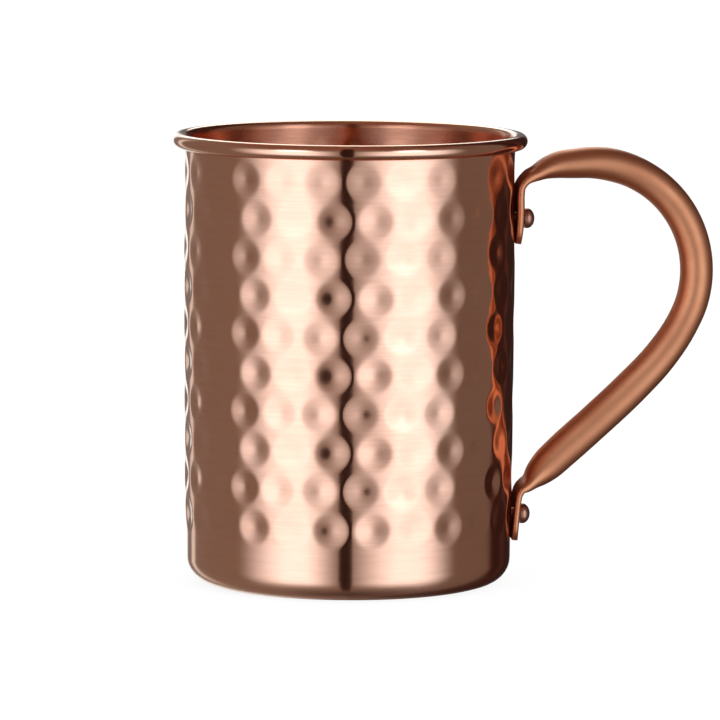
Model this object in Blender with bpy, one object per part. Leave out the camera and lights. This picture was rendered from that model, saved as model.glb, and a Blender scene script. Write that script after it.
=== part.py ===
"""Copper mug: a drawn cup with a rolled rim, and a tube handle flattened at both ends and riveted on.

Lengths below are in millimetres and become metres in the scene. +Z is up, the handle reaches towards +X,
and the origin is the centre of the cup's flat underside. Each separate piece is one named object.
"""

import math

import bmesh
import bpy
from mathutils import Matrix, Vector

MM = 0.001
WELD = 1e-4

# Cup: one sheet, drawn into a straight beaker, its edge rolled outwards into a bead.
CUP_HEIGHT = 109.0
CUP_TOP_RADIUS = 40.0  # outside of the wall, under the bead
CUP_FOOT_RADIUS = 39.4  # outside of the wall, above the base corner
CUP_CORNER_RADIUS = 5.8
CUP_WALL = 0.6
BEAD_RADIUS = 1.8
BEAD_CURL_END = math.radians(-112)  # the curl stops short of the wall, under the bead
CUP_SEGMENTS = 64
CORNER_STEPS = 4
CURL_STEPS = 10

# Handle: a round tube, bent in the XZ plane. Flattening keeps the tube's girth.
TUBE_DIAMETER = 8.6
TUBE_WALL = 0.65
TUBE_SLIT = 0.12  # what is left of the bore between the two flattened walls
TUBE_SEGMENTS = 16
BOW_CENTRE = (58.3, 75.3)
BOW_RADIUS = 26.4
BOW_THICKNESS = 8.0  # the bend leaves the tube slightly oval
BOW_START = math.radians(80)
BOW_END = math.radians(-30)
BOW_STEPS = 8
TAB_CORNER = 4.0  # corner radius of a flattened end, seen from the side it faces
TAB_END_STEPS = 4
SPAN_STEPS = 2  # cross-sections per stretch between two stations
WRAP_FULL_BELOW = 1.8  # a section this thin follows the cup's curve
WRAP_NONE_ABOVE = 3.2
OVAL_BELOW = 1.5  # width over thickness up to which a section is an ellipse
STRAIGHT_ABOVE = 4.5  # width over thickness from which its two sides are straight

# Stations of the handle's centre line as (x, z, thickness in the XZ plane), from each end to the bow.
UPPER_STATIONS = (
    (40.90, 82.1, 1.4),
    (41.35, 85.8, 1.6),
    (41.55, 90.6, 1.7),
    (41.55, 94.2, 1.7),
    (41.75, 95.9, 1.7),
    (42.75, 97.5, 1.9),
    (43.90, 98.5, 2.7),
    (45.40, 99.2, 3.8),
    (47.40, 100.2, 5.1),
    (51.00, 101.2, 6.6),
    (54.70, 101.5, 7.2),
    (58.40, 101.7, 7.6),
)
LOWER_STATIONS = (
    (40.60, 9.6, 1.4),
    (40.90, 13.3, 1.4),
    (41.25, 17.0, 1.4),
    (41.55, 19.8, 1.4),
    (41.80, 21.0, 1.5),
    (42.35, 22.1, 1.7),
    (43.15, 22.8, 2.5),
    (44.15, 23.6, 3.9),
    (45.70, 25.1, 6.1),
    (48.40, 27.7, 8.0),
    (51.80, 30.9, 8.5),
    (60.00, 38.3, 8.6),
    (68.70, 46.5, 8.6),
    (76.10, 54.5, 8.3),
)

# Rivets: a domed head outside the tab, a shank through the tab and the wall, a low head inside the cup.
RIVET_HEIGHTS = {"upper_rivet": 88.2, "lower_rivet": 15.9}
RIVET_SEATS = {"upper_rivet": 42.75, "lower_rivet": 42.2}  # x of the outer head's underside
RIVET_HEAD_RADIUS = 2.45
RIVET_HEAD_HEIGHT = 2.2
RIVET_HEAD_LAND = 0.4  # straight part of the head's edge, below its dome
RIVET_SHANK_RADIUS = 1.5
RIVET_INNER_RADIUS = 2.4
RIVET_INNER_HEIGHT = 0.7
RIVET_SEGMENTS = 20
DOME_STEPS = 5
HOLE_CUTTER_LENGTH = 12.0
CLEARANCE = 0.3  # between two pieces that touch on the real mug
INNER_HEAD_GAP = 0.4  # from the wall to the flat underside of the inner head
SHARP_ANGLE = math.radians(40)

MATERIALS = {
    # name: (base colour, roughness)
    "polished_copper": ((0.84, 0.46, 0.31, 1.0), 0.16),
    "satin_copper": ((0.76, 0.38, 0.24, 1.0), 0.32),
    "rivet_copper": ((0.62, 0.30, 0.20, 1.0), 0.30),
}


def clear_scene():
    for obj in list(bpy.data.objects):
        bpy.data.objects.remove(obj, do_unlink=True)


def copper(name):
    colour, roughness = MATERIALS[name]
    material = bpy.data.materials.new(name)
    material.use_nodes = True
    shader = material.node_tree.nodes["Principled BSDF"]
    shader.inputs["Base Color"].default_value = colour
    shader.inputs["Metallic"].default_value = 1.0
    shader.inputs["Roughness"].default_value = roughness
    return material


def place(name, shape, material=None):
    """Makes an object of a bmesh whose vertices are in millimetres, shaded smooth except at real corners."""
    bmesh.ops.scale(shape, vec=(MM, MM, MM), verts=shape.verts)
    bmesh.ops.recalc_face_normals(shape, faces=shape.faces)
    mesh = bpy.data.meshes.new(name)
    shape.to_mesh(mesh)
    shape.free()
    mesh.shade_smooth()
    mesh.set_sharp_from_angle(angle=SHARP_ANGLE)
    obj = bpy.data.objects.new(name, mesh)
    bpy.context.scene.collection.objects.link(obj)
    if material:
        mesh.materials.append(copper(material))
    return obj


def turned(profile, segments):
    """A solid of revolution about Z. The profile is a chain of (radius, z) with both ends on the axis."""
    shape = bmesh.new()
    verts = [shape.verts.new((radius, 0.0, z)) for radius, z in profile]
    edges = [shape.edges.new(pair) for pair in zip(verts, verts[1:])]
    bmesh.ops.spin(
        shape,
        geom=verts + edges,
        cent=(0.0, 0.0, 0.0),
        axis=(0.0, 0.0, 1.0),
        angle=2 * math.pi,
        steps=segments,
        use_merge=True,
    )
    bmesh.ops.remove_doubles(shape, verts=shape.verts, dist=WELD)
    return shape


def cup_wall_radius(z):
    """Outside radius of the slightly tapered wall at a height."""
    return CUP_FOOT_RADIUS + (CUP_TOP_RADIUS - CUP_FOOT_RADIUS) * z / CUP_HEIGHT


def cup_sheet():
    """The middle of the sheet from the base's centre to the curl's end, as (point, unit vector to its outer face)."""
    line = [(Vector((0.0, CUP_WALL / 2)), Vector((0.0, -1.0)))]
    corner = Vector((cup_wall_radius(CUP_CORNER_RADIUS) - CUP_CORNER_RADIUS, CUP_CORNER_RADIUS))
    for step in range(CORNER_STEPS + 1):
        angle = math.pi / 2 * (step / CORNER_STEPS - 1)
        outward = Vector((math.cos(angle), math.sin(angle)))
        line.append((corner + outward * (CUP_CORNER_RADIUS - CUP_WALL / 2), outward))
    bead_z = CUP_HEIGHT - BEAD_RADIUS
    bead = Vector((cup_wall_radius(bead_z) - CUP_WALL + BEAD_RADIUS, bead_z))
    for step in range(CURL_STEPS + 1):
        angle = math.pi + (BEAD_CURL_END - math.pi) * step / CURL_STEPS
        outward = -Vector((math.cos(angle), math.sin(angle)))
        line.append((bead - outward * (BEAD_RADIUS - CUP_WALL / 2), outward))
    return line


def make_cup():
    line = cup_sheet()
    outer = [point + normal * CUP_WALL / 2 for point, normal in line]
    inner = [point - normal * CUP_WALL / 2 for point, normal in line]
    return place("cup", turned(outer + inner[::-1], CUP_SEGMENTS), "polished_copper")


def handle_stations():
    """Stations of the centre line from the upper tab's end, round the bow, to the lower tab's end."""
    bow = []
    for step in range(BOW_STEPS + 1):
        angle = BOW_START + (BOW_END - BOW_START) * step / BOW_STEPS
        x = BOW_CENTRE[0] + BOW_RADIUS * math.cos(angle)
        z = BOW_CENTRE[1] + BOW_RADIUS * math.sin(angle)
        bow.append((x, z, BOW_THICKNESS))
    return [Vector(station) for station in (*UPPER_STATIONS, *bow, *LOWER_STATIONS[::-1])]


def between(stations, index, fraction):
    """A smooth curve through the stations: the station and its rate of change per millimetre of path."""

    def slope(at):
        before = stations[max(at - 1, 0)]
        here = stations[at]
        after = stations[min(at + 1, len(stations) - 1)]
        back = max((here - before).length, 1e-9)
        ahead = max((after - here).length, 1e-9)
        if at == 0:
            return (after - here) / ahead
        if at == len(stations) - 1:
            return (here - before) / back
        return ((after - here) / ahead * back + (here - before) / back * ahead) / (back + ahead)

    start, end = stations[index], stations[index + 1]
    span = (end - start).length
    from_slope, to_slope = slope(index) * span, slope(index + 1) * span
    t = fraction
    point = (
        start * (2 * t**3 - 3 * t**2 + 1)
        + from_slope * (t**3 - 2 * t**2 + t)
        + end * (3 * t**2 - 2 * t**3)
        + to_slope * (t**3 - t**2)
    )
    rate = (
        start * (6 * t**2 - 6 * t)
        + from_slope * (3 * t**2 - 4 * t + 1)
        + end * (6 * t - 6 * t**2)
        + to_slope * (3 * t**2 - 2 * t)
    ) / span
    return point, rate


def handle_samples():
    """Centre line samples (x, z, thickness), tangent and distance from the nearer end, dense at the tab ends."""
    stations = handle_stations()
    last = len(stations) - 2
    places = []
    for index in range(last + 1):
        if index in (0, last):
            quarter = [math.pi / 2 * step / TAB_END_STEPS for step in range(TAB_END_STEPS)]
            fractions = [1 - math.cos(angle) for angle in quarter]
            if index == last:
                fractions = [1 - fraction for fraction in fractions][::-1]
                fractions = [0.0, *fractions]
        else:
            fractions = [step / SPAN_STEPS for step in range(SPAN_STEPS)]
        places += [(index, fraction) for fraction in fractions]
    samples = []
    ends = stations[0].xy, stations[-1].xy
    for index, fraction in places:
        point, rate = between(stations, index, fraction)
        from_end = min((point.xy - end).length for end in ends)
        samples.append((point, rate.xy.normalized(), from_end))
    return samples


def flattened_width(thickness):
    """Width of the tube where it is pressed to this thickness, its girth kept."""
    return thickness + math.pi * (TUBE_DIAMETER - thickness) / 2


def section(thickness, width):
    """An oval as (across, along Y): an ellipse where the tube is open, straight-sided where it is flat."""
    flatness = (width / thickness - OVAL_BELOW) / (STRAIGHT_ABOVE - OVAL_BELOW)
    flatness = min(max(flatness, 0.0), 1.0)
    points = []
    for step in range(TUBE_SEGMENTS):
        angle = 2 * math.pi * (step + 0.5) / TUBE_SEGMENTS
        across = thickness / 2 * math.cos(angle)
        ellipse = width / 2 * math.sin(angle)
        straight = math.copysign((width - thickness) / 2, ellipse) + thickness / 2 * math.sin(angle)
        points.append((across, ellipse + (straight - ellipse) * flatness))
    return points


def tube_ring(shape, sample, wall):
    """One ring of vertices round the centre line, on the outer surface or one wall further in."""
    point, tangent, from_end = sample
    x, z, thickness = point
    width = flattened_width(thickness)
    if from_end < TAB_CORNER:
        width -= 2 * (TAB_CORNER - math.sqrt(TAB_CORNER**2 - (TAB_CORNER - from_end) ** 2))
    inner_thickness = max(thickness - 2 * wall, TUBE_SLIT)
    wrap = (WRAP_NONE_ABOVE - thickness) / (WRAP_NONE_ABOVE - WRAP_FULL_BELOW)
    wrap = min(max(wrap, 0.0), 1.0)
    ring = []
    for across, along in section(inner_thickness, width - 2 * wall):
        bend = wrap * along**2 / (2 * x)
        ring.append(shape.verts.new((x + tangent.y * across - bend, along, z - tangent.x * across)))
    return ring


def bridge(shape, rings):
    for ring, following in zip(rings, rings[1:]):
        for step in range(TUBE_SEGMENTS):
            after = (step + 1) % TUBE_SEGMENTS
            shape.faces.new((ring[step], ring[after], following[after], following[step]))


def make_handle():
    """The tube: an outer and an inner skin, joined at both ends round the open slit."""
    shape = bmesh.new()
    samples = handle_samples()
    outer = [tube_ring(shape, sample, 0.0) for sample in samples]
    inner = [tube_ring(shape, sample, TUBE_WALL) for sample in samples]
    bridge(shape, outer)
    bridge(shape, inner)
    bridge(shape, (outer[0], inner[0]))
    bridge(shape, (outer[-1], inner[-1]))
    return place("handle", shape, "satin_copper")


def rivet_profile(length):
    """(radius, height) from the inner head's crown, up the shank, to the outer head's crown at the top.

    Height 0 is the underside of the inner head, and length is the shank's length to the outer head.
    """
    quarter = [math.pi / 2 * step / DOME_STEPS for step in range(DOME_STEPS + 1)]
    inner = [(RIVET_INNER_RADIUS * math.sin(a), -RIVET_INNER_HEIGHT * math.cos(a)) for a in quarter]
    dome_base = length + RIVET_HEAD_LAND
    dome = RIVET_HEAD_HEIGHT - RIVET_HEAD_LAND
    outer = [(RIVET_HEAD_RADIUS * math.cos(a), dome_base + dome * math.sin(a)) for a in quarter]
    shank = [(RIVET_SHANK_RADIUS, 0.0), (RIVET_SHANK_RADIUS, length), (RIVET_HEAD_RADIUS, length)]
    return inner + shank + outer


def make_rivet(name):
    height = RIVET_HEIGHTS[name]
    inner_seat = cup_wall_radius(height) - CUP_WALL - INNER_HEAD_GAP
    shape = turned(rivet_profile(RIVET_SEATS[name] - inner_seat), RIVET_SEGMENTS)
    outwards = Matrix.Rotation(math.pi / 2, 4, "Y")
    bmesh.ops.transform(shape, matrix=outwards, verts=shape.verts)
    rivet = place(name, shape, "rivet_copper")
    rivet.location = Vector((inner_seat, 0.0, height)) * MM
    return rivet


def make_hole(rivet_name):
    """A cutter along the rivet's axis, through the wall and both sheets of the tab."""
    shape = bmesh.new()
    bmesh.ops.create_cone(
        shape,
        cap_ends=True,
        segments=RIVET_SEGMENTS,
        radius1=RIVET_SHANK_RADIUS + CLEARANCE,
        radius2=RIVET_SHANK_RADIUS + CLEARANCE,
        depth=HOLE_CUTTER_LENGTH,
    )
    bmesh.ops.transform(shape, matrix=Matrix.Rotation(math.pi / 2, 4, "Y"), verts=shape.verts)
    cutter = place(rivet_name + "_hole", shape)
    cutter.location = Vector((CUP_TOP_RADIUS, 0.0, RIVET_HEIGHTS[rivet_name])) * MM
    cutter.hide_render = True
    cutter.display_type = "WIRE"
    return cutter


def cut(obj, cutter):
    boolean = obj.modifiers.new(cutter.name, "BOOLEAN")
    boolean.operation = "DIFFERENCE"
    boolean.solver = "EXACT"
    boolean.object = cutter


clear_scene()
cup = make_cup()
handle = make_handle()
for rivet_name in RIVET_HEIGHTS:
    make_rivet(rivet_name)
    hole = make_hole(rivet_name)
    cut(cup, hole)
    cut(handle, hole)
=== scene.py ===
import math
import random

import bpy
import numpy as np
from mathutils import Matrix, Vector


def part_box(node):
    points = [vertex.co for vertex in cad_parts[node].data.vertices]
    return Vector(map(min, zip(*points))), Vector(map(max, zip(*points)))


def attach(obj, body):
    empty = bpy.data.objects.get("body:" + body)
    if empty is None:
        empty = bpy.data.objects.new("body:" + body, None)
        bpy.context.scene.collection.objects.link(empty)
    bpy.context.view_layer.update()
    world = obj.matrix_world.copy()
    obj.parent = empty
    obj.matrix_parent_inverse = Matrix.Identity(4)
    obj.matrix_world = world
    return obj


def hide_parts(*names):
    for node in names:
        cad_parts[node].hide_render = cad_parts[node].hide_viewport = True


# The copper mug's fine surfaces, materials, light and camera. Lengths are in millimetres and become
# metres in the scene, and angles are in degrees. The frame is the CAD's: +Z is up, and +X is towards
# the handle.
MM = 0.001

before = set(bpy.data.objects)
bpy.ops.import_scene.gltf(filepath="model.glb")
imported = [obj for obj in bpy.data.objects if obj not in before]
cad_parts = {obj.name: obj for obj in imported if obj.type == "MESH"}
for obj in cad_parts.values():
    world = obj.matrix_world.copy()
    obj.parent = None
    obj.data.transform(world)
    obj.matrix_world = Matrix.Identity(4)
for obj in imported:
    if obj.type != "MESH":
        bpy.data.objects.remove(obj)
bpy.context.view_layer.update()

# Cup: the same drawn sheet as the CAD, with hammer dents in its wall.
CUP_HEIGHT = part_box("cup")[1].z / MM
CUP_TOP_RADIUS = 40.0
CUP_FOOT_RADIUS = 39.4
CUP_CORNER_RADIUS = 5.8
CUP_WALL = 0.6
BEAD_RADIUS = 1.8
BEAD_CURL_END = -112
OUTER_SEGMENTS = 448
INNER_SEGMENTS = 224
BASE_RINGS = (0.0, 10.0, 22.0, 29.0)
CORNER_STEPS = 8
OUTER_WALL_STEPS = 144
INNER_WALL_STEPS = 64
CURL_STEPS = 18

# Hammer dents: staggered rows right round the wall. Each dent is a blunt cone with a soft edge.
DENT_ROWS = 10
DENT_COLUMNS = 25
DENT_FIRST_HEIGHT = 17.4
DENT_ROW_PITCH = 9.2
DENT_START = -99.45  # azimuth of one dent of the lowest row
DENT_STAGGER = 9.6  # every other row
DENT_DRIFT = 0.07  # each row against the one below it
DENT_CROWDING = -0.45  # the columns stand closer at the front than at the back
DENT_FLANK = 8.0
DENT_TIP_RADII = (1.3, 0.95)  # of the even and the odd rows
DENT_EDGE = (3.4, 5.1)
DENT_LIGHT_ROWS = (4.0, 8.0)  # from the first row to the second the marks grow lighter
DENT_LIGHT_LOSS = (0.20, 0.36)  # of the even and the odd rows
DENT_LIGHT_COLUMN = 0.65  # the first column of the odd rows is struck lightly
DENT_UNEVENNESS = 0.30  # of the strength, in waves round the wall
DENT_WAVES = 8
DENT_WAVE_START = DENT_START - 31.5
DENT_STRENGTH_JITTER = 0.05
DENT_AZIMUTH_JITTER = 0.35
DENT_HEIGHT_JITTER = 0.2
DENT_PROFILE_STEPS = 400
DENT_SEED = 4
SWELL = 0.28  # hammering spreads the sheet, so the dented band stands a little proud
SWELL_RISE = (11.0, 20.0)
SWELL_FALL = (78.0, 94.0)
SLOPE_STEP = 0.01  # half the height over which the swell's slope is taken

# Handle: the CAD's centre line as (x, z, thickness in the XZ plane), from each end to the bow.
TUBE_DIAMETER = 8.6
TUBE_WALL = 0.65
TUBE_SLIT = 0.12
TUBE_SEGMENTS = 48
BOW_CENTRE = (58.3, 75.3)
BOW_RADIUS = 26.4
BOW_THICKNESS = 8.0
BOW_START = 80
BOW_END = -30
BOW_STEPS = 8
TAB_CORNER = 4.0
TAB_END_STEPS = 10
SPAN_STEPS = 5
WRAP_FULL_BELOW = 1.8
WRAP_NONE_ABOVE = 3.2
OVAL_BELOW = 1.5
STRAIGHT_ABOVE = 4.5
TUBE_SHARP_ANGLE = 65
PAINTED_SHADE_WITHIN = 46.0  # how far from the cup's axis the backs of the tabs carry painted shade
PAINTED_SHADE_FACING = -0.5  # faces turned at least this far towards the cup's axis
UPPER_STATIONS = (
    (40.90, 82.1, 1.4),
    (41.35, 85.8, 1.6),
    (41.55, 90.6, 1.7),
    (41.55, 94.2, 1.7),
    (41.75, 95.9, 1.7),
    (42.75, 97.5, 1.9),
    (43.90, 98.5, 2.7),
    (45.40, 99.2, 3.8),
    (47.40, 100.2, 5.1),
    (51.00, 101.2, 6.6),
    (54.70, 101.5, 7.2),
    (58.40, 101.7, 7.6),
)
LOWER_STATIONS = (
    (40.60, 9.6, 1.4),
    (40.90, 13.3, 1.4),
    (41.25, 17.0, 1.4),
    (41.55, 19.8, 1.4),
    (41.80, 21.0, 1.5),
    (42.35, 22.1, 1.7),
    (43.15, 22.8, 2.5),
    (44.15, 23.6, 3.9),
    (45.70, 25.1, 6.1),
    (48.40, 27.7, 8.0),
    (51.80, 30.9, 8.5),
    (60.00, 38.3, 8.6),
    (68.70, 46.5, 8.6),
    (76.10, 54.5, 8.3),
)

# Rivets: their places come from the CAD nodes, and their heads are domes of the sizes given here.
RIVET_SHANK_RADIUS = 1.5
RIVET_INNER_HEIGHT = 0.7
RIVET_HEAD_HEIGHT = 2.2
RIVET_HEAD_LAND = 0.35
RIVET_SEATING = 0.25  # how far the head sinks towards the tab, short of touching it
RIVET_SEGMENTS = 48
RIVET_LOBES = 3
RIVET_UNEVENNESS = 0.05
RIVET_SHARP_ANGLE = 50
RIVET_SHOULDER = 0.98  # the foot of the head against its full radius
DOME_STEPS = 14

# Camera: distance and height from the cup's foot, and a long lens.
CAMERA_AZIMUTH = -94.0
CAMERA_DISTANCE = 1371.3
CAMERA_HEIGHT = 210.4
CAMERA_SIDESTEP = 2.7
CAMERA_PITCH = 6.52
CAMERA_ROLL = 0.29
CAMERA_LENS = 284.2
CAMERA_SENSOR = 36.0
CAMERA_CLIP = (50.0, 20000.0)

FLOOR_RADIUS = 6000.0
FLOOR_DROP = 0.1
FLOOR_GLOW = 1.05
FLOOR_PAINT = 0.95
FLOOR_PAINT_SHARE = 0.15


def smooth_mesh(name, points, faces):
    """A piece of a list of points in millimetres, shaded smooth."""
    mesh = bpy.data.meshes.new(name)
    mesh.from_pydata([Vector(point) * MM for point in points], [], faces)
    mesh.validate()
    mesh.shade_smooth()
    obj = bpy.data.objects.new(name, mesh)
    bpy.context.scene.collection.objects.link(obj)
    return obj


def smoothstep(values, start, end):
    """0 up to start, 1 from end, and a smooth change between them."""
    share = np.clip((values - start) / (end - start), 0.0, 1.0)
    return share * share * (3 - 2 * share)


# ---------------------------------------------------------------- cup


def dents():
    """Every hammer mark, a little different from the next: (azimuth, height, strength, tip radius).

    The azimuth is in radians.
    """
    marks = []
    draw = random.Random(DENT_SEED)
    first, last = DENT_LIGHT_ROWS
    for row in range(DENT_ROWS):
        start = DENT_START + DENT_STAGGER * (row % 2) + DENT_DRIFT * row
        lighter = 1 - DENT_LIGHT_LOSS[row % 2] * min(max((row - first) / (last - first), 0.0), 1.0)
        for column in range(DENT_COLUMNS):
            turn = 2 * math.pi * column / DENT_COLUMNS
            azimuth = math.radians(start + DENT_CROWDING * math.sin(turn)) + turn
            wave = math.cos(DENT_WAVES * (azimuth - math.radians(DENT_WAVE_START)))
            uneven = draw.uniform(-DENT_STRENGTH_JITTER, DENT_STRENGTH_JITTER)
            strength = (1 + DENT_UNEVENNESS * wave + uneven) * lighter
            if row % 2 and column == 0:
                strength *= DENT_LIGHT_COLUMN
            azimuth += math.radians(draw.uniform(-DENT_AZIMUTH_JITTER, DENT_AZIMUTH_JITTER))
            height = DENT_FIRST_HEIGHT + DENT_ROW_PITCH * row
            height += draw.uniform(-DENT_HEIGHT_JITTER, DENT_HEIGHT_JITTER)
            marks.append((azimuth, height, strength, DENT_TIP_RADII[row % 2]))
    return marks


def dent_profile(tip_radius):
    """A dent's radii, with its slope and its depth at each of them."""
    radii = np.linspace(0.0, DENT_EDGE[1], DENT_PROFILE_STEPS)
    slope = math.radians(DENT_FLANK) * radii / np.hypot(radii, tip_radius)
    slope *= 1 - smoothstep(radii, *DENT_EDGE)
    depth = np.cumsum(slope[::-1])[::-1] * radii[1]
    return radii, slope, depth


def swell(heights):
    """How far the wall stands out at each height."""
    return SWELL * smoothstep(heights, *SWELL_RISE) * (1 - smoothstep(heights, *SWELL_FALL))


def dented(azimuths, heights, radii):
    """How deep the wall lies, and its slope round and up the wall, for each height and azimuth.

    The slopes are those of the outward radius, which shrinks as the depth grows.
    """
    depth, slope_round, slope_up = (np.zeros((len(heights), len(azimuths))) for _ in range(3))
    depth -= swell(heights)[:, None]
    above, below = swell(heights + SLOPE_STEP), swell(heights - SLOPE_STEP)
    slope_up += (above - below)[:, None] / (2 * SLOPE_STEP)
    profiles = {tip_radius: dent_profile(tip_radius) for tip_radius in DENT_TIP_RADII}
    reach = DENT_EDGE[1]
    for azimuth, height, strength, tip_radius in dents():
        profile_radii, profile_slope, profile_depth = profiles[tip_radius]
        rows = np.nonzero(np.abs(heights - height) < reach)[0]
        turn = (azimuths - azimuth + math.pi) % (2 * math.pi) - math.pi
        columns = np.nonzero(np.abs(turn) * CUP_FOOT_RADIUS < reach * 1.05)[0]
        sideways = turn[columns][None, :] * radii[rows][:, None]
        upwards = np.repeat((heights[rows] - height)[:, None], len(columns), axis=1)
        away = np.hypot(sideways, upwards)
        slope = strength * np.interp(away, profile_radii, profile_slope, right=0.0)
        slope /= np.maximum(away, 1e-6)
        place = np.ix_(rows, columns)
        depth[place] += strength * np.interp(away, profile_radii, profile_depth, right=0.0)
        slope_round[place] += slope * sideways
        slope_up[place] += slope * upwards
    return depth, slope_round, slope_up


def wall_radius(z):
    return CUP_FOOT_RADIUS + (CUP_TOP_RADIUS - CUP_FOOT_RADIUS) * z / CUP_HEIGHT


def sheet_line(wall_steps):
    """The middle of the sheet, from the base's centre to the curl's end.

    Each row is (r, z, outward r, outward z).
    """
    rows = [(radius, CUP_WALL / 2, 0.0, -1.0) for radius in BASE_RINGS]
    corner_r = wall_radius(CUP_CORNER_RADIUS) - CUP_CORNER_RADIUS
    for step in range(CORNER_STEPS + 1):
        angle = math.pi / 2 * (step / CORNER_STEPS - 1)
        out_r, out_z = math.cos(angle), math.sin(angle)
        bend = CUP_CORNER_RADIUS - CUP_WALL / 2
        rows.append((corner_r + bend * out_r, CUP_CORNER_RADIUS + bend * out_z, out_r, out_z))
    bead_z = CUP_HEIGHT - BEAD_RADIUS
    for step in range(1, wall_steps):
        z = CUP_CORNER_RADIUS + (bead_z - CUP_CORNER_RADIUS) * step / wall_steps
        rows.append((wall_radius(z) - CUP_WALL / 2, z, 1.0, 0.0))
    bead_r = wall_radius(bead_z) - CUP_WALL + BEAD_RADIUS
    for step in range(CURL_STEPS + 1):
        angle = math.pi + (math.radians(BEAD_CURL_END) - math.pi) * step / CURL_STEPS
        out_r, out_z = -math.cos(angle), -math.sin(angle)
        bend = BEAD_RADIUS - CUP_WALL / 2
        rows.append((bead_r - bend * out_r, bead_z - bend * out_z, out_r, out_z))
    return np.array(rows)


def skin(wall_steps, side, segments):
    """Rings of points and normals on one face of the sheet: side is 1 outside and -1 inside."""
    azimuths = np.arange(segments) * 2 * math.pi / segments
    across = np.stack([np.cos(azimuths), np.sin(azimuths), np.zeros(segments)], axis=-1)
    along = np.stack([-np.sin(azimuths), np.cos(azimuths), np.zeros(segments)], axis=-1)
    up = np.array([0.0, 0.0, 1.0])
    line = sheet_line(wall_steps)
    radii = line[:, 0] + side * line[:, 2] * CUP_WALL / 2
    heights = line[:, 1] + side * line[:, 3] * CUP_WALL / 2
    depth, slope_round, slope_up = dented(azimuths, line[:, 1], line[:, 0])
    on_wall = (line[:, 2] == 1.0)[:, None]
    rings = (radii[:, None] - depth * on_wall)[..., None] * across + heights[:, None, None] * up
    normals = line[:, 2, None, None] * across + line[:, 3, None, None] * up
    # The dents cut the radius by a slope, so the normal leans the other way.
    normals = normals - (slope_round * on_wall)[..., None] * along
    normals = normals - (slope_up * on_wall)[..., None] * up
    normals /= np.linalg.norm(normals, axis=-1, keepdims=True)
    return rings, side * normals


def ring_faces(first, rings, segments, flip):
    """Quads between neighbouring rings whose points start at index first."""
    faces = []
    for ring in range(rings - 1):
        low = first + ring * segments
        for step in range(segments):
            after = (step + 1) % segments
            face = (low + step, low + after, low + segments + after, low + segments + step)
            faces.append(face[::-1] if flip else face)
    return faces


def make_cup():
    """The hammered sheet: an outer skin, a coarser inner one, and the curl's edge between them."""
    outer, outer_normals = skin(OUTER_WALL_STEPS, 1, OUTER_SEGMENTS)
    inner, inner_normals = skin(INNER_WALL_STEPS, -1, INNER_SEGMENTS)
    outer_first = 1
    inner_first = outer_first + (len(outer) - 1) * OUTER_SEGMENTS
    inner_centre = inner_first + (len(inner) - 1) * INNER_SEGMENTS
    points = [outer[0, 0], *outer[1:].reshape(-1, 3), *inner[1:].reshape(-1, 3), inner[0, 0]]
    normals = [outer_normals[0, 0], *outer_normals[1:].reshape(-1, 3)]
    normals += [*inner_normals[1:].reshape(-1, 3), inner_normals[0, 0]]

    faces = ring_faces(outer_first, len(outer) - 1, OUTER_SEGMENTS, False)
    outer_edge = inner_first - OUTER_SEGMENTS
    inner_edge = inner_centre - INNER_SEGMENTS
    for step in range(INNER_SEGMENTS):
        after = (step + 1) % INNER_SEGMENTS
        first, middle, last = (outer_edge + (2 * step + more) % OUTER_SEGMENTS for more in range(3))
        faces.append((first, middle, inner_edge + step))
        faces.append((middle, last, inner_edge + after, inner_edge + step))
    for step in range(OUTER_SEGMENTS):
        faces.append((0, outer_first + (step + 1) % OUTER_SEGMENTS, outer_first + step))
    outside_faces = len(faces)
    faces += ring_faces(inner_first, len(inner) - 1, INNER_SEGMENTS, True)
    for step in range(INNER_SEGMENTS):
        faces.append((inner_first + step, inner_first + (step + 1) % INNER_SEGMENTS, inner_centre))

    cup = smooth_mesh("cup_hammered", points, faces)
    cup.data.normals_split_custom_set_from_vertices([tuple(normal) for normal in normals])
    cup.data.materials.append(brushed_copper("copper_polished", OUTSIDE))
    cup.data.materials.append(brushed_copper("copper_inside", INSIDE))
    cup.data.materials.append(brushed_copper("copper_bead", BEAD))
    slots = np.zeros(len(cup.data.polygons), np.int32)
    bead_start = len(slots) - INNER_SEGMENTS * (CURL_STEPS - 1)
    slots[outside_faces:] = 1
    slots[bead_start : len(slots) - INNER_SEGMENTS] = 2
    cup.data.polygons.foreach_set("material_index", slots)
    return cup


# ---------------------------------------------------------------- handle


def handle_stations():
    """(x, z, thickness) from the upper tab's end, over the bow, to the lower tab's end."""
    bow = []
    for step in range(BOW_STEPS + 1):
        angle = math.radians(BOW_START + (BOW_END - BOW_START) * step / BOW_STEPS)
        x = BOW_CENTRE[0] + BOW_RADIUS * math.cos(angle)
        z = BOW_CENTRE[1] + BOW_RADIUS * math.sin(angle)
        bow.append((x, z, BOW_THICKNESS))
    return [Vector(station) for station in (*UPPER_STATIONS, *bow, *LOWER_STATIONS[::-1])]


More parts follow.
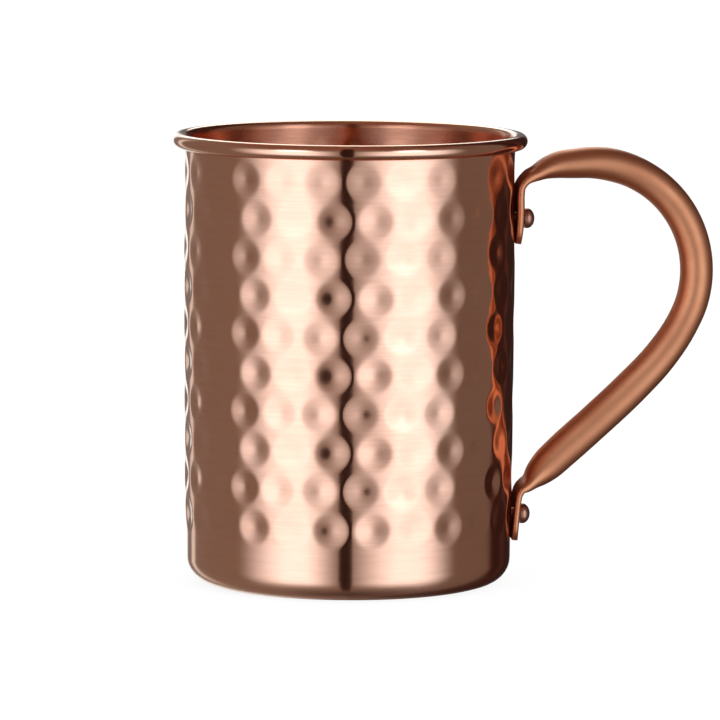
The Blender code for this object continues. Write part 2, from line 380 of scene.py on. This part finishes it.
def between(stations, index, fraction):
    """A smooth curve through the stations: its place, and its rate of change along the path."""

    def slope(at):
        before = stations[max(at - 1, 0)]
        here = stations[at]
        after = stations[min(at + 1, len(stations) - 1)]
        back = max((here - before).length, 1e-9)
        ahead = max((after - here).length, 1e-9)
        if at == 0:
            return (after - here) / ahead
        if at == len(stations) - 1:
            return (here - before) / back
        return ((after - here) / ahead * back + (here - before) / back * ahead) / (back + ahead)

    start, end = stations[index], stations[index + 1]
    span = (end - start).length
    from_slope, to_slope = slope(index) * span, slope(index + 1) * span
    t = fraction
    point = (
        start * (2 * t**3 - 3 * t**2 + 1)
        + from_slope * (t**3 - 2 * t**2 + t)
        + end * (3 * t**2 - 2 * t**3)
        + to_slope * (t**3 - t**2)
    )
    rate = (
        start * (6 * t**2 - 6 * t)
        + from_slope * (3 * t**2 - 4 * t + 1)
        + end * (6 * t - 6 * t**2)
        + to_slope * (3 * t**2 - 2 * t)
    ) / span
    return point, rate


def handle_samples():
    """Places along the centre line, closer together at the tab ends.

    Each is its station (x, z, thickness), the tangent, and the distance from the nearer end.
    """
    stations = handle_stations()
    last = len(stations) - 2
    places = []
    for index in range(last + 1):
        if index in (0, last):
            quarter = [math.pi / 2 * step / TAB_END_STEPS for step in range(TAB_END_STEPS)]
            fractions = [1 - math.cos(angle) for angle in quarter]
            if index == last:
                fractions = [0.0, *[1 - fraction for fraction in fractions][::-1]]
        else:
            fractions = [step / SPAN_STEPS for step in range(SPAN_STEPS)]
        places += [(index, fraction) for fraction in fractions]
    samples = []
    ends = stations[0].xy, stations[-1].xy
    for index, fraction in places:
        point, rate = between(stations, index, fraction)
        from_end = min((point.xy - end).length for end in ends)
        samples.append((point, rate.xy.normalized(), from_end))
    return samples


def section(thickness, width):
    """A section as (across, along Y): an ellipse where the tube is open, flat-sided at the tabs."""
    flatness = (width / thickness - OVAL_BELOW) / (STRAIGHT_ABOVE - OVAL_BELOW)
    flatness = min(max(flatness, 0.0), 1.0)
    flat = (width - thickness) / 2
    points = []
    for step in range(TUBE_SEGMENTS):
        quarters = 4 * (step + 0.5) / TUBE_SEGMENTS
        angle = quarters * math.pi / 2
        oval = Vector((thickness * math.cos(angle), width * math.sin(angle))) / 2
        side, along = divmod(quarters + 0.5, 1.0)
        turn = Vector((math.cos(along * math.pi), math.sin(along * math.pi))) * thickness / 2
        if side % 2:
            straight = turn + Vector((0.0, flat))
        else:
            straight = Vector((thickness / 2, flat * (2 * along - 1)))
        if side in (2, 3):
            straight = -straight
        points.append(oval.lerp(straight, flatness))
    return points


def tube_ring(sample, wall):
    """One ring of points round the centre line, on the outer surface or one wall further in."""
    point, tangent, from_end = sample
    x, z, thickness = point
    width = thickness + math.pi * (TUBE_DIAMETER - thickness) / 2
    if from_end < TAB_CORNER:
        width -= 2 * (TAB_CORNER - math.sqrt(TAB_CORNER**2 - (TAB_CORNER - from_end) ** 2))
    inner_thickness = max(thickness - 2 * wall, TUBE_SLIT)
    wrap = (WRAP_NONE_ABOVE - thickness) / (WRAP_NONE_ABOVE - WRAP_FULL_BELOW)
    wrap = min(max(wrap, 0.0), 1.0)
    ring = []
    for across, along in section(inner_thickness, width - 2 * wall):
        bend = wrap * along**2 / (2 * x)
        ring.append((x + tangent.y * across - bend, along, z - tangent.x * across))
    return ring


def make_handle():
    """The tube as one closed skin: along the outside, in at the open end, back along the bore."""
    samples = handle_samples()
    rings = [tube_ring(sample, 0.0) for sample in samples]
    rings += [tube_ring(sample, TUBE_WALL) for sample in samples[::-1]]
    points = [point for ring in rings for point in ring]
    faces = []
    for ring in range(len(rings)):
        low = ring * TUBE_SEGMENTS
        high = (ring + 1) % len(rings) * TUBE_SEGMENTS
        for step in range(TUBE_SEGMENTS):
            after = (step + 1) % TUBE_SEGMENTS
            faces.append((low + step, low + after, high + after, high + step))
    handle = smooth_mesh("handle_tube", points, faces)
    handle.data.set_sharp_from_angle(angle=math.radians(TUBE_SHARP_ANGLE))
    handle.data.materials.append(satin_copper("copper_satin", HANDLE))
    handle.data.materials.append(painted_shade_copper("copper_painted_shade"))
    # Faces on the backs of the tabs that turn towards the cup's axis get the painted shade.
    for polygon in handle.data.polygons:
        middle = polygon.center
        outwards = Vector((middle.x, middle.y, 0.0)).normalized()
        if middle.x < PAINTED_SHADE_WITHIN * MM and polygon.normal.dot(outwards) < PAINTED_SHADE_FACING:
            polygon.material_index = 1
    return handle


# ---------------------------------------------------------------- rivets


def rivet_profile(length, radius):
    """(radius, height) from the inner head's crown, up the shank, to the outer head's crown."""
    quarter = [math.pi / 2 * step / DOME_STEPS for step in range(DOME_STEPS + 1)]
    inner = [(radius * math.sin(a), -RIVET_INNER_HEIGHT * math.cos(a)) for a in quarter]
    dome = RIVET_HEAD_HEIGHT - RIVET_HEAD_LAND
    outer = [(radius * math.cos(a), length + RIVET_HEAD_LAND + dome * math.sin(a)) for a in quarter]
    seat = length - RIVET_SEATING
    shank = [(RIVET_SHANK_RADIUS, 0.0), (RIVET_SHANK_RADIUS, seat), (radius * RIVET_SHOULDER, seat)]
    return inner + shank + outer


def make_rivet(node):
    """A turned rivet along +X, its head slightly uneven as if set with a hammer."""
    low, high = (Vector(corner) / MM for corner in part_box(node))
    radius = (high.z - low.z) / 2
    centre_z = (high.z + low.z) / 2
    foot = low.x + RIVET_INNER_HEIGHT
    profile = rivet_profile(high.x - RIVET_HEAD_HEIGHT - foot, radius)
    draw = random.Random(len(node))
    lobes = [(draw.uniform(0, 2 * math.pi), draw.uniform(-1, 1)) for _ in range(RIVET_LOBES)]
    points = [(foot + profile[0][1], 0.0, centre_z)]
    for ring_radius, along in profile[1:-1]:
        for step in range(RIVET_SEGMENTS):
            angle = 2 * math.pi * step / RIVET_SEGMENTS
            uneven = sum(size * math.cos((order + 1) * angle + phase)
                         for order, (phase, size) in enumerate(lobes))
            reach = ring_radius * (1 + RIVET_UNEVENNESS / 2 * uneven / 2)
            rise = RIVET_UNEVENNESS * uneven * ring_radius / radius
            x = foot + along + rise
            points.append((x, reach * math.cos(angle), centre_z + reach * math.sin(angle)))
    points.append((foot + profile[-1][1], 0.0, centre_z))
    faces = []
    rings = len(profile) - 2
    for step in range(RIVET_SEGMENTS):
        after = (step + 1) % RIVET_SEGMENTS
        faces.append((0, 1 + after, 1 + step))
        for ring in range(rings - 1):
            low_ring = 1 + ring * RIVET_SEGMENTS
            high_ring = low_ring + RIVET_SEGMENTS
            faces.append((low_ring + step, low_ring + after, high_ring + after, high_ring + step))
        last = 1 + (rings - 1) * RIVET_SEGMENTS
        faces.append((last + step, last + after, len(points) - 1))
    rivet = smooth_mesh(node + "_set", points, faces)
    rivet.data.set_sharp_from_angle(angle=math.radians(RIVET_SHARP_ANGLE))
    rivet.data.materials.append(satin_copper("copper_" + node, RIVET))
    return rivet


# ---------------------------------------------------------------- materials


class Nodes:
    """A node tree with short calls for its nodes. Inputs are numbers, colours or sockets."""

    def __init__(self, tree):
        self.tree = tree

    def put(self, socket, value):
        if isinstance(value, bpy.types.NodeSocket):
            self.tree.links.new(value, socket)
        else:
            socket.default_value = value

    def node(self, kind, settings=None, **inputs):
        made = self.tree.nodes.new(kind)
        for key, value in (settings or {}).items():
            setattr(made, key, value)
        for key, value in inputs.items():
            self.put(made.inputs[key.replace("_", " ")], value)
        return made

    def math(self, operation, *values):
        made = self.tree.nodes.new("ShaderNodeMath")
        made.operation = operation
        for socket, value in zip(made.inputs, values):
            self.put(socket, value)
        return made.outputs[0]

    def add(self, first, second):
        """The sum of two shaders."""
        made = self.tree.nodes.new("ShaderNodeAddShader")
        self.put(made.inputs[0], first)
        self.put(made.inputs[1], second)
        return made.outputs[0]

    def ramp(self, value, start, end, low=0.0, high=1.0):
        """low up to start, high from end, and a smooth change between them."""
        made = self.tree.nodes.new("ShaderNodeMapRange")
        made.interpolation_type = "SMOOTHSTEP"
        for socket, number in zip(made.inputs, (value, start, end, low, high)):
            self.put(socket, number)
        return made.outputs[0]

    def band(self, value, rise, top, fall, end):
        """1 between top and fall, 0 outside rise and end."""
        rising = self.ramp(value, rise, top)
        falling = self.ramp(value, fall, end, 1.0, 0.0)
        return self.math("MULTIPLY", rising, falling)

    def mix(self, share, first, second):
        made = self.tree.nodes.new("ShaderNodeMix")
        made.data_type = "RGBA"
        for index, value in ((0, share), (6, first), (7, second)):
            self.put(made.inputs[index], value)
        return made.outputs[2]

    def noise(self, scale, detail, stretch=(1.0, 1.0, 1.0)):
        """Noise in the piece's own coordinates. Scale times stretch is in features per metre."""
        place = self.node("ShaderNodeTexCoord").outputs["Object"]
        mapping = self.node("ShaderNodeMapping", Vector=place, Scale=stretch)
        place = mapping.outputs[0]
        made = self.node("ShaderNodeTexNoise", Vector=place, Scale=scale, Detail=detail)
        return made.outputs["Fac"]


# Looks: the metal's colour when plain and when aged, its gloss, and the depth of its brushing or
# grain in metres.
# The look for the backs of the tabs is painted shade.
OUTSIDE = {
    "colour": (0.93, 0.43, 0.265, 1.0),
    "deep": (0.80, 0.31, 0.17, 1.0),
    "roughness": 0.18,
    "streaks": 0.11,
    "bump": 1.4e-5,
    "metal": 1.0,
}
BEAD = {
    "colour": (0.93, 0.42, 0.255, 1.0),
    "deep": (0.76, 0.28, 0.15, 1.0),
    "roughness": 0.12,
    "streaks": 0.11,
    "bump": 6e-6,
    "metal": 1.0,
}
INSIDE = {
    "colour": (0.91, 0.34, 0.185, 1.0),
    "deep": (0.70, 0.20, 0.10, 1.0),
    "roughness": 0.27,
    "streaks": 0.20,
    "bump": 1.5e-5,
    "metal": 1.0,
}
HANDLE = {
    "colour": (0.74, 0.254, 0.113, 1.0),
    "deep": (0.52, 0.15, 0.063, 1.0),
    "roughness": 0.5,
    "grain": 3e-6,
    "metal": 1.0,
}
# Painted shade: a dull dark brown for the gap between the tabs and the wall, where shade falls.
PAINTED_SHADE = {
    "colour": (0.24, 0.065, 0.034, 1.0),
    "deep": (0.10, 0.028, 0.016, 1.0),
    "roughness": 0.5,
    "grain": 8e-6,
    "metal": 0.0,
}
RIVET = {
    "colour": (0.50, 0.20, 0.12, 1.0),
    "deep": (0.18, 0.065, 0.038, 1.0),
    "roughness": 0.36,
    "grain": 1.6e-5,
    "metal": 1.0,
}
FINE_STREAKS = (160.0, 160.0, 2600.0)  # features per metre across and up the cup
LONG_STREAKS = (45.0, 45.0, 900.0)
FINE_SHARE = 0.6
BRUSHED_PATCHES = 38.0
SATIN_GRAIN = 5200.0
SATIN_PATCHES = 60.0
SATIN_SPECKS = 900.0

# The painted shade on the backs of the tabs, in metres: it clears outwards from the cup's axis,
# further out at the upper tab than at the lower one.
PAINTED_SHADE_HEIGHTS = (0.03, 0.08)
PAINTED_SHADE_ENDS = (0.0415, 0.0440)
PAINTED_SHADE_FADE = 0.0018


def start_material(name, look):
    """A new material, its node calls and its shader: bare metal, or a dull painted shade with no
    gloss.
    """
    material = bpy.data.materials.new(name)
    material.use_nodes = True
    nodes = Nodes(material.node_tree)
    shader = material.node_tree.nodes["Principled BSDF"]
    shader.inputs["Metallic"].default_value = look["metal"]
    shader.inputs["Specular IOR Level"].default_value = 0.0
    return material, nodes, shader


def brushed_copper(name, look):
    """Copper polished on a lathe: fine streaks run round it, so reflections blur up and down."""
    material, nodes, shader = start_material(name, look)
    fine = nodes.math("MULTIPLY", nodes.noise(1.0, 2.0, FINE_STREAKS), FINE_SHARE)
    long = nodes.math("MULTIPLY", nodes.noise(1.0, 1.0, LONG_STREAKS), 1 - FINE_SHARE)
    streaks = nodes.math("ADD", fine, long)
    patches = nodes.noise(BRUSHED_PATCHES, 3.0)
    age = nodes.ramp(patches, 0.42, 0.78, 0.0, 0.22)
    line = nodes.ramp(streaks, 0.36, 0.62, look["streaks"] * 2, 0.0)
    darker = nodes.math("ADD", age, line)
    nodes.put(shader.inputs["Base Color"], nodes.mix(darker, look["colour"], look["deep"]))
    rough = nodes.math("ADD", look["roughness"], nodes.ramp(patches, 0.35, 0.8, -0.02, 0.05))
    nodes.put(shader.inputs["Roughness"], rough)
    bump = nodes.node("ShaderNodeBump", Strength=1.0, Distance=look["bump"], Height=streaks)
    nodes.put(shader.inputs["Normal"], bump.outputs[0])
    tangent = nodes.node("ShaderNodeTangent", {"direction_type": "RADIAL", "axis": "Z"})
    nodes.put(shader.inputs["Tangent"], tangent.outputs[0])
    shader.inputs["Anisotropic"].default_value = 1.0
    shader.inputs["Anisotropic Rotation"].default_value = 0.25
    return material


def satin_copper(name, look):
    """Copper with an even satin finish: a very fine grain, darker patches and small specks."""
    material, nodes, shader = start_material(name, look)
    grain = nodes.noise(SATIN_GRAIN, 2.0)
    patches = nodes.noise(SATIN_PATCHES, 4.0)
    specks = nodes.noise(SATIN_SPECKS, 2.0)
    age = nodes.ramp(patches, 0.40, 0.75, 0.0, 0.30)
    spots = nodes.ramp(specks, 0.55, 0.75, 0.0, 0.14)
    darker = nodes.math("ADD", age, spots)
    nodes.put(shader.inputs["Base Color"], nodes.mix(darker, look["colour"], look["deep"]))
    rough = nodes.math("ADD", look["roughness"], nodes.ramp(patches, 0.35, 0.8, -0.03, 0.06))
    nodes.put(shader.inputs["Roughness"], rough)
    bump = nodes.node("ShaderNodeBump", Strength=1.0, Distance=look["grain"], Height=grain)
    nodes.put(shader.inputs["Normal"], bump.outputs[0])
    return material


def painted_shade_copper(name):
    """The handle's own copper in the open, turning to a painted dark brown shade in the gap at the
    wall.
    """
    material = satin_copper(name, PAINTED_SHADE)
    nodes = Nodes(material.node_tree)
    shader = material.node_tree.nodes["Principled BSDF"]
    place = nodes.node("ShaderNodeTexCoord").outputs["Object"]
    reach, _, height = nodes.node("ShaderNodeSeparateXYZ", Vector=place).outputs
    # The painted shade reaches further out from the axis as the height grows, then fades to the
    # handle's copper.
    end = nodes.ramp(height, *PAINTED_SHADE_HEIGHTS, *PAINTED_SHADE_ENDS)
    unshaded = nodes.ramp(nodes.math("SUBTRACT", reach, end), 0.0, PAINTED_SHADE_FADE)
    painted_shade_colour = shader.inputs["Base Color"].links[0].from_socket
    nodes.put(shader.inputs["Base Color"], nodes.mix(unshaded, painted_shade_colour, HANDLE["colour"]))
    nodes.put(shader.inputs["Metallic"], unshaded)
    return material


# ---------------------------------------------------------------- floor, light and camera

# The studio as the metal sees it. Azimuths are from the camera, positive to its right. A band of
# light is (rise, full from, full to, end).
LEFT_BOX = (-87.0, -42.0, -33.5, -2.0)
RIGHT_BOX = (-5.0, 36.5, 51.0, 84.0)
BOX_BELOW = (-52.0, -26.0)
BOX_ABOVE = (12.0, 34.0)
BOX_RADIANCE = 1.90
BOX_COLOUR = (0.675, 1.0, 1.34, 1.0)
TOP_LIGHTS = ((-56.0, -42.0, -35.0, -21.0, 2.3), (26.0, 39.0, 44.0, 57.0, 3.2))
TOP_LIGHT_HEIGHT = (8.0, 18.0, 28.0, 38.0)

# What keeps light off: the gap between the boxes, and a black flag beyond the right one.
GAP = (-6.9, -5.8, 2.5, 3.8)
FLAG = (116.0, 124.0, 166.0, 173.0)
SHADE_HEIGHT = (-75.0, -60.0, 60.0, 75.0)
SHADE_STRENGTH = 0.955

# Narrow strips at the left and a low light behind, which edge the metal.
STRIPS = ((-149.0, -147.0, -141.0, -139.0, 0.75), (-179.0, -174.0, -164.0, -160.0, 1.1))
BACK_LIGHT = (162.0, 173.0)
BACK_LIGHT_HEIGHT = (11.0, 18.0, 40.0, 50.0)
BACK_LIGHT_RADIANCE = 2.6
RIM_COLOUR = (0.76, 1.0, 1.04, 1.0)

# The dim room: darker to the right and towards the floor, with a warm ceiling.
AMBIENT_TURN = (-20.0, 80.0, 0.176, 0.135)
AMBIENT_RISE = (-95.0, -50.0, 0.3, 1.25)
ROOM_COLOUR = (1.0, 1.0, 1.0, 1.0)
CEILING_COLOUR = (0.95, 0.66, 0.58, 1.0)
CEILING_RISE = (30.0, 60.0)

# Faint red light in the dark bands, as from other copper ware near by.
SPILL_COLOUR = (1.0, 0.42, 0.34, 1.0)
SPILL = (
    (-7.0, -6.0, 3.0, 4.0, 0.02),
    (116.0, 124.0, 168.0, 174.0, 0.025),
    (117.0, 120.5, 122.5, 127.0, 0.03),
    (136.0, 140.5, 143.5, 148.0, 0.035),
)


def bands(nodes, azimuth, rows):
    """The sum of several bands, each with its radiance last."""
    total = 0.0
    for *edges, radiance in rows:
        light = nodes.math("MULTIPLY", nodes.band(azimuth, *edges), radiance)
        total = nodes.math("ADD", total, light)
    return total


def make_world():
    """The studio round the mug, as its metal sees it. The camera and the floor see plain white.

    It has two tall softboxes with a narrow dark gap between them and a light above each, strips,
    a back light and a dim room.
    """
    world = bpy.data.worlds.new("studio")
    bpy.context.scene.world = world
    world.use_nodes = True
    tree = world.node_tree
    tree.nodes.clear()
    nodes = Nodes(tree)
    direction = nodes.node("ShaderNodeTexCoord").outputs["Generated"]
    turned = nodes.node("ShaderNodeMapping", {"vector_type": "VECTOR"}, Vector=direction,
                        Rotation=(0.0, 0.0, -math.radians(CAMERA_AZIMUTH)))
    toward, right, up = nodes.node("ShaderNodeSeparateXYZ", Vector=turned.outputs[0]).outputs
    azimuth = nodes.math("DEGREES", nodes.math("ARCTAN2", right, toward))
    elevation = nodes.math("DEGREES", nodes.math("ARCSINE", up))
    height = nodes.band(elevation, *BOX_BELOW, *BOX_ABOVE)

    shade = nodes.math("MAXIMUM", nodes.band(azimuth, *GAP), nodes.band(azimuth, *FLAG))
    shade = nodes.math("MULTIPLY", shade, nodes.band(elevation, *SHADE_HEIGHT))
    lit = nodes.math("SUBTRACT", 1.0, nodes.math("MULTIPLY", shade, SHADE_STRENGTH))

    boxes = nodes.math("ADD", nodes.band(azimuth, *LEFT_BOX), nodes.band(azimuth, *RIGHT_BOX))
    boxes = nodes.math("MULTIPLY", boxes, BOX_RADIANCE)
    boxes = nodes.math("MULTIPLY", nodes.math("MULTIPLY", boxes, height), lit)
    tops = bands(nodes, azimuth, TOP_LIGHTS)
    tops = nodes.math("MULTIPLY", tops, nodes.band(elevation, *TOP_LIGHT_HEIGHT))
    boxes = nodes.math("ADD", boxes, tops)

    rims = nodes.math("MULTIPLY", bands(nodes, azimuth, STRIPS), height)
    behind = nodes.ramp(nodes.math("ABSOLUTE", azimuth), *BACK_LIGHT, 0.0, BACK_LIGHT_RADIANCE)
    behind = nodes.math("MULTIPLY", behind, nodes.band(elevation, *BACK_LIGHT_HEIGHT))
    rims = nodes.math("MULTIPLY", nodes.math("ADD", rims, behind), lit)

    room = nodes.ramp(azimuth, *AMBIENT_TURN)
    room = nodes.math("MULTIPLY", room, nodes.ramp(elevation, *AMBIENT_RISE))
    room = nodes.math("MULTIPLY", room, lit)
    room_colour = nodes.mix(nodes.ramp(elevation, *CEILING_RISE), ROOM_COLOUR, CEILING_COLOUR)
    spill = bands(nodes, azimuth, SPILL)

    light = None
    lights = ((BOX_COLOUR, boxes), (RIM_COLOUR, rims), (room_colour, room), (SPILL_COLOUR, spill))
    for colour, strength in lights:
        source = nodes.node("ShaderNodeBackground", Color=colour, Strength=strength).outputs[0]
        light = nodes.add(light, source) if light else source
    white = nodes.node("ShaderNodeBackground", Color=ROOM_COLOUR, Strength=1.0)
    rays = nodes.node("ShaderNodeLightPath").outputs
    seen = nodes.math("MAXIMUM", rays["Is Camera Ray"], rays["Is Diffuse Ray"])
    choose = nodes.node("ShaderNodeMixShader", Fac=seen)
    tree.links.new(light, choose.inputs[1])
    tree.links.new(white.outputs[0], choose.inputs[2])
    output = nodes.node("ShaderNodeOutputWorld")
    tree.links.new(choose.outputs[0], output.inputs["Surface"])


def make_floor():
    """A plain white floor, lit from below like a light table, with a faint contact shadow."""
    mesh = bpy.data.meshes.new("floor")
    r = FLOOR_RADIUS * MM
    mesh.from_pydata([(-r, -r, 0.0), (r, -r, 0.0), (r, r, 0.0), (-r, r, 0.0)], [], [(0, 1, 2, 3)])
    floor = bpy.data.objects.new("floor", mesh)
    floor.location.z = -FLOOR_DROP * MM
    bpy.context.scene.collection.objects.link(floor)
    material = bpy.data.materials.new("floor_white")
    material.use_nodes = True
    tree = material.node_tree
    tree.nodes.clear()
    nodes = Nodes(tree)
    glow = nodes.node("ShaderNodeEmission", Color=ROOM_COLOUR, Strength=FLOOR_GLOW)
    paint = nodes.node("ShaderNodeBsdfDiffuse", Color=(FLOOR_PAINT, FLOOR_PAINT, FLOOR_PAINT, 1.0))
    choose = nodes.node("ShaderNodeMixShader", Fac=FLOOR_PAINT_SHARE)
    tree.links.new(glow.outputs[0], choose.inputs[1])
    tree.links.new(paint.outputs[0], choose.inputs[2])
    output = nodes.node("ShaderNodeOutputMaterial")
    tree.links.new(choose.outputs[0], output.inputs["Surface"])
    mesh.materials.append(material)
    floor.visible_glossy = False


def make_camera():
    """The camera in front of the mug at CAMERA_AZIMUTH, looking slightly down."""
    data = bpy.data.cameras.new("camera")
    data.lens = CAMERA_LENS
    data.sensor_width = CAMERA_SENSOR
    data.clip_start, data.clip_end = (distance * MM for distance in CAMERA_CLIP)
    camera = bpy.data.objects.new("camera", data)
    bpy.context.scene.collection.objects.link(camera)
    swing = Matrix.Rotation(math.radians(CAMERA_AZIMUTH + 90), 4, "Z")
    place = Matrix.Translation(Vector((CAMERA_SIDESTEP, -CAMERA_DISTANCE, CAMERA_HEIGHT)) * MM)
    tilt = Matrix.Rotation(math.radians(90 - CAMERA_PITCH), 4, "X")
    roll = Matrix.Rotation(math.radians(CAMERA_ROLL), 4, "Z")
    camera.matrix_world = swing @ place @ tilt @ roll
    bpy.context.scene.camera = camera


def add_piece(piece, node):
    """The piece stands in for a CAD node that doesn't move, and the node is hidden."""
    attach(piece, "root")
    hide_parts(node)


bpy.context.scene.view_settings.view_transform = "Standard"
make_camera()
make_world()
make_floor()
add_piece(make_cup(), "cup")
add_piece(make_handle(), "handle")
for rivet_node in ("upper_rivet", "lower_rivet"):
    add_piece(make_rivet(rivet_node), rivet_node)
